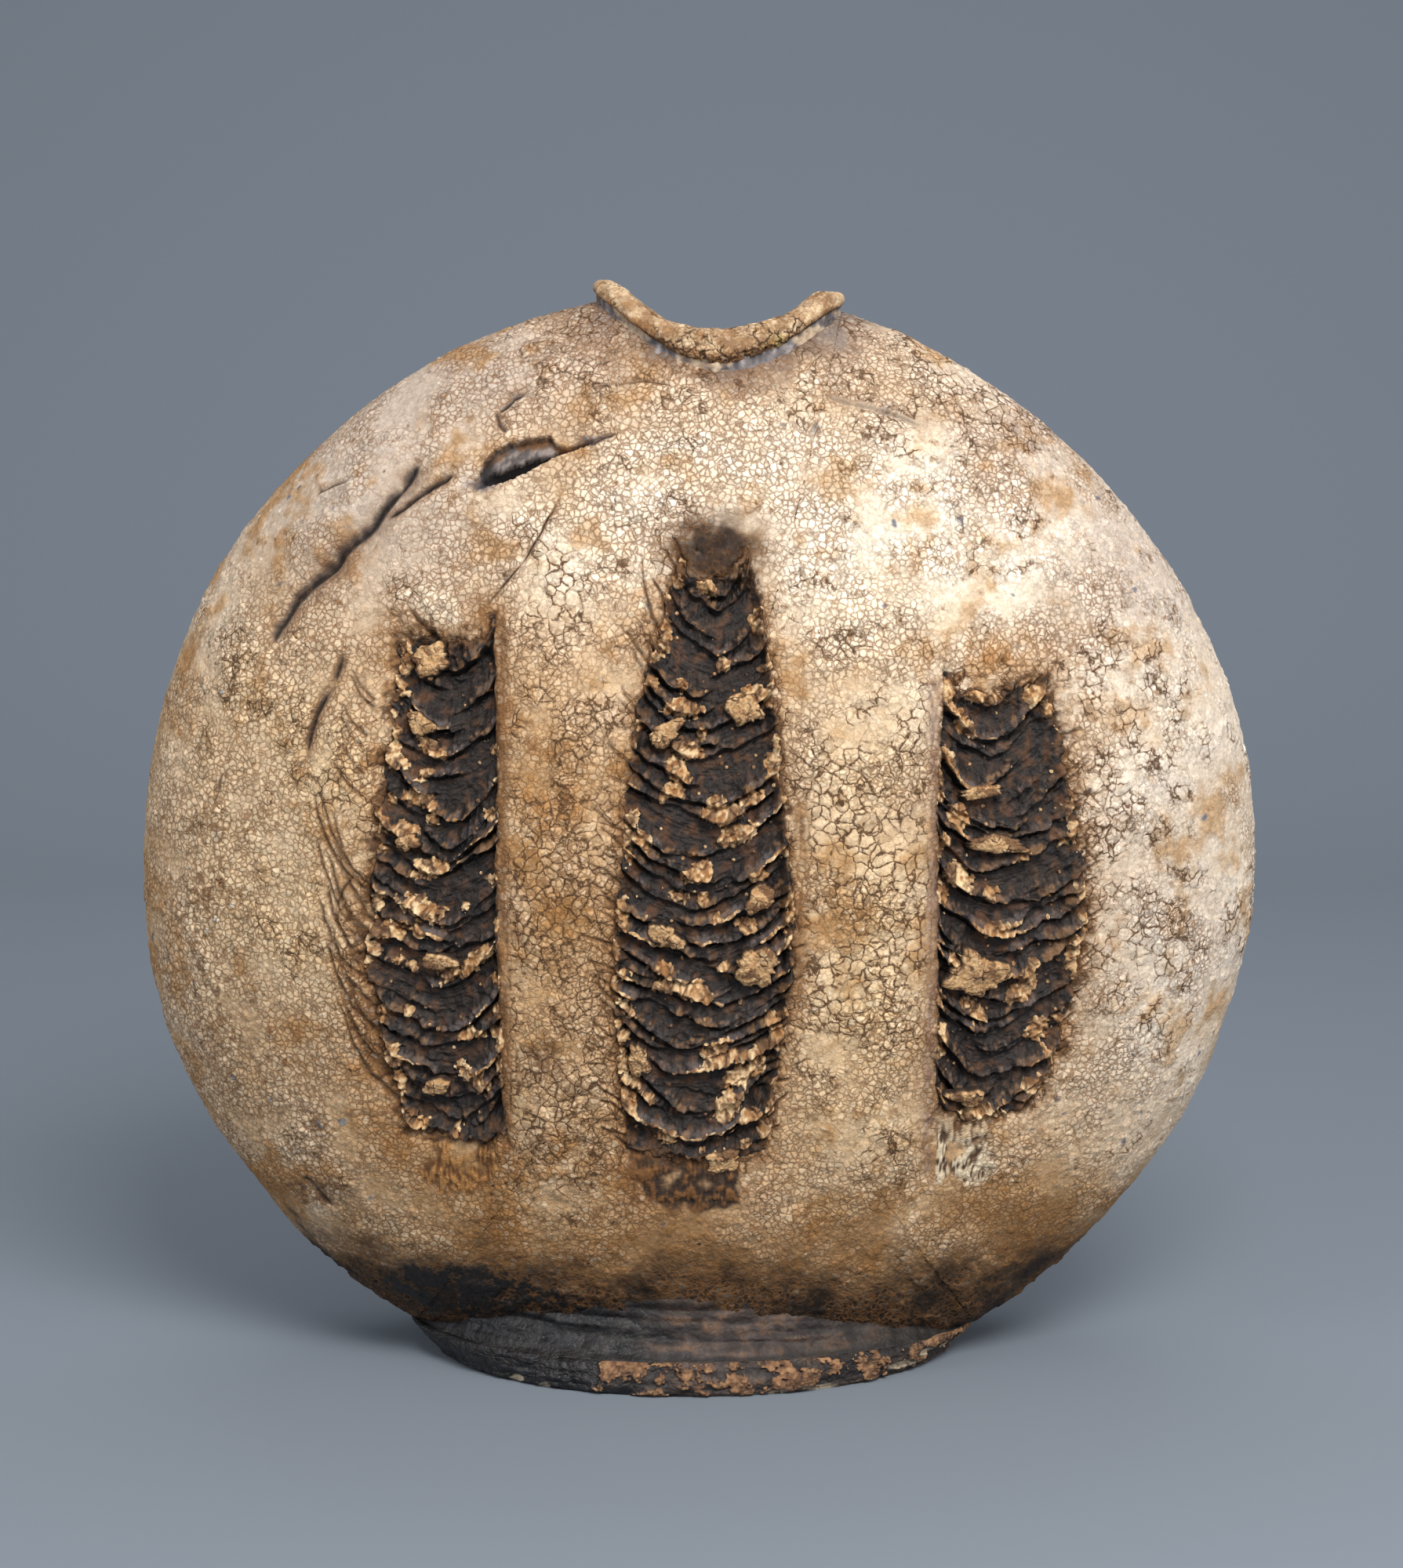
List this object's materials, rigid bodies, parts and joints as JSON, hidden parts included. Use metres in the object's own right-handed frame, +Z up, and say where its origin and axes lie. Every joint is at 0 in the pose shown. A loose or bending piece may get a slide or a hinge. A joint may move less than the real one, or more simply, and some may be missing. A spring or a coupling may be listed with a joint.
{
  "type": "disc vase",
  "caption": "Upright disc-shaped stoneware vase with a pinched oval mouth, an oval foot and raked vertical stripes on a crackled body.",
  "frame": {"origin": "on the table under the middle of the vase, at the bottom centre of its bounding box", "axes": "+Z up, -Y out of the raked front, +X to the right seen from the front"},
  "size_m": [0.4508, 0.1888, 0.4346],
  "materials": {
    "body_clay": "dry crackled slip over coarse stoneware",
    "inner_clay": "bare stoneware",
    "foot_clay": "dark fired stoneware with glossy ash patches",
    "collar_clay": "blue-grey fired slip",
    "lip_clay": "dry rolled coil",
    "raked_clay": "dark raked clay with a grey sheen",
    "torn_clay": "dry torn clay"
  },
  "bodies": {
    "root": {"front_shell": "body_clay", "back_shell": "body_clay", "floor_slab": "inner_clay", "foot_band": "foot_clay", "foot_waist_front": "foot_clay", "foot_waist_back": "foot_clay", "neck_collar": "collar_clay", "lip_coil_front": "lip_clay", "lip_coil_back": "lip_clay", "raked_panel_left": "raked_clay", "raked_panel_centre": "raked_clay", "raked_panel_right": "raked_clay", "pad_left_1": "torn_clay", "pad_left_2": "torn_clay", "pad_left_3": "torn_clay", "pad_left_4": "torn_clay", "pad_left_5": "torn_clay", "pad_centre_1": "torn_clay", "pad_centre_2": "torn_clay", "pad_centre_3": "torn_clay", "pad_centre_4": "torn_clay", "pad_centre_5": "torn_clay", "pad_centre_6": "torn_clay", "pad_centre_7": "torn_clay", "pad_right_1": "torn_clay", "pad_right_2": "torn_clay", "pad_right_3": "torn_clay", "pad_right_4": "torn_clay"}
  },
  "joints": []
}
